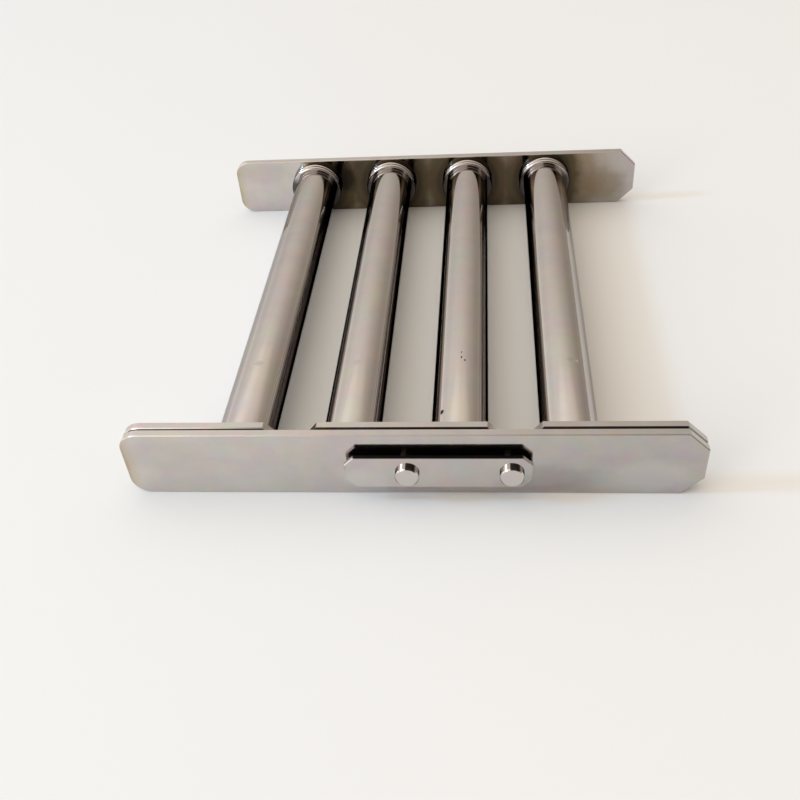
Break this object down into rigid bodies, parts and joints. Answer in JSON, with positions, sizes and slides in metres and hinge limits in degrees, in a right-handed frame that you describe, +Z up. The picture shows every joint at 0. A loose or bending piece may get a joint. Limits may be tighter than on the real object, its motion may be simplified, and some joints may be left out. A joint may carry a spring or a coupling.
{
  "type": "magnetic grate separator",
  "caption": "Easy-clean magnetic grate: polished sleeves between flat plates hold a pull-out set of magnet cores that catches iron from product falling through.",
  "frame": {"origin": "on the standing surface, below the middle of the whole grate", "axes": "+X across the plates, +Y along the sleeves from the pull grip to the rear plate, +Z up"},
  "size_m": [0.25, 0.2634, 0.0345],
  "materials": {
    "plate_steel": "satin cold-rolled stainless sheet with faint rolling lines",
    "sleeve_steel": "mirror-polished stainless tube",
    "turned_steel": "turned and polished stainless steel",
    "can_steel": "bright drawn stainless tube",
    "screw_steel": "plain stainless screws",
    "magnet_nickel": "nickel-plated sintered magnets",
    "pole_iron": "ground soft iron discs"
  },
  "bodies": {
    "tube_frame": {"rear_plate": "plate_steel", "sleeve_plate": "plate_steel", "rear_screws": "screw_steel", "sleeve_1": "sleeve_steel", "sleeve_2": "sleeve_steel", "sleeve_3": "sleeve_steel", "sleeve_4": "sleeve_steel", "end_cap_1": "turned_steel", "end_cap_2": "turned_steel", "end_cap_3": "turned_steel", "end_cap_4": "turned_steel"},
    "magnet_set": {"front_plate": "plate_steel", "pull_plate": "plate_steel", "pull_pin_left": "turned_steel", "pull_pin_right": "turned_steel", "pull_spacer_left": "turned_steel", "pull_spacer_right": "turned_steel", "core_head_1": "turned_steel", "core_head_2": "turned_steel", "core_head_3": "turned_steel", "core_head_4": "turned_steel", "core_can_1": "can_steel", "core_can_2": "can_steel", "core_can_3": "can_steel", "core_can_4": "can_steel", "core_magnets_1": "magnet_nickel", "core_magnets_2": "magnet_nickel", "core_magnets_3": "magnet_nickel", "core_magnets_4": "magnet_nickel", "core_poles_1": "pole_iron", "core_poles_2": "pole_iron", "core_poles_3": "pole_iron", "core_poles_4": "pole_iron", "core_nose_1": "turned_steel", "core_nose_2": "turned_steel", "core_nose_3": "turned_steel", "core_nose_4": "turned_steel"}
  },
  "joints": [
    {"name": "magnet_pull", "type": "slide", "parent": "tube_frame", "child": "magnet_set", "axis": [0, -1, 0], "range_m": [0, 0.25]}
  ]
}
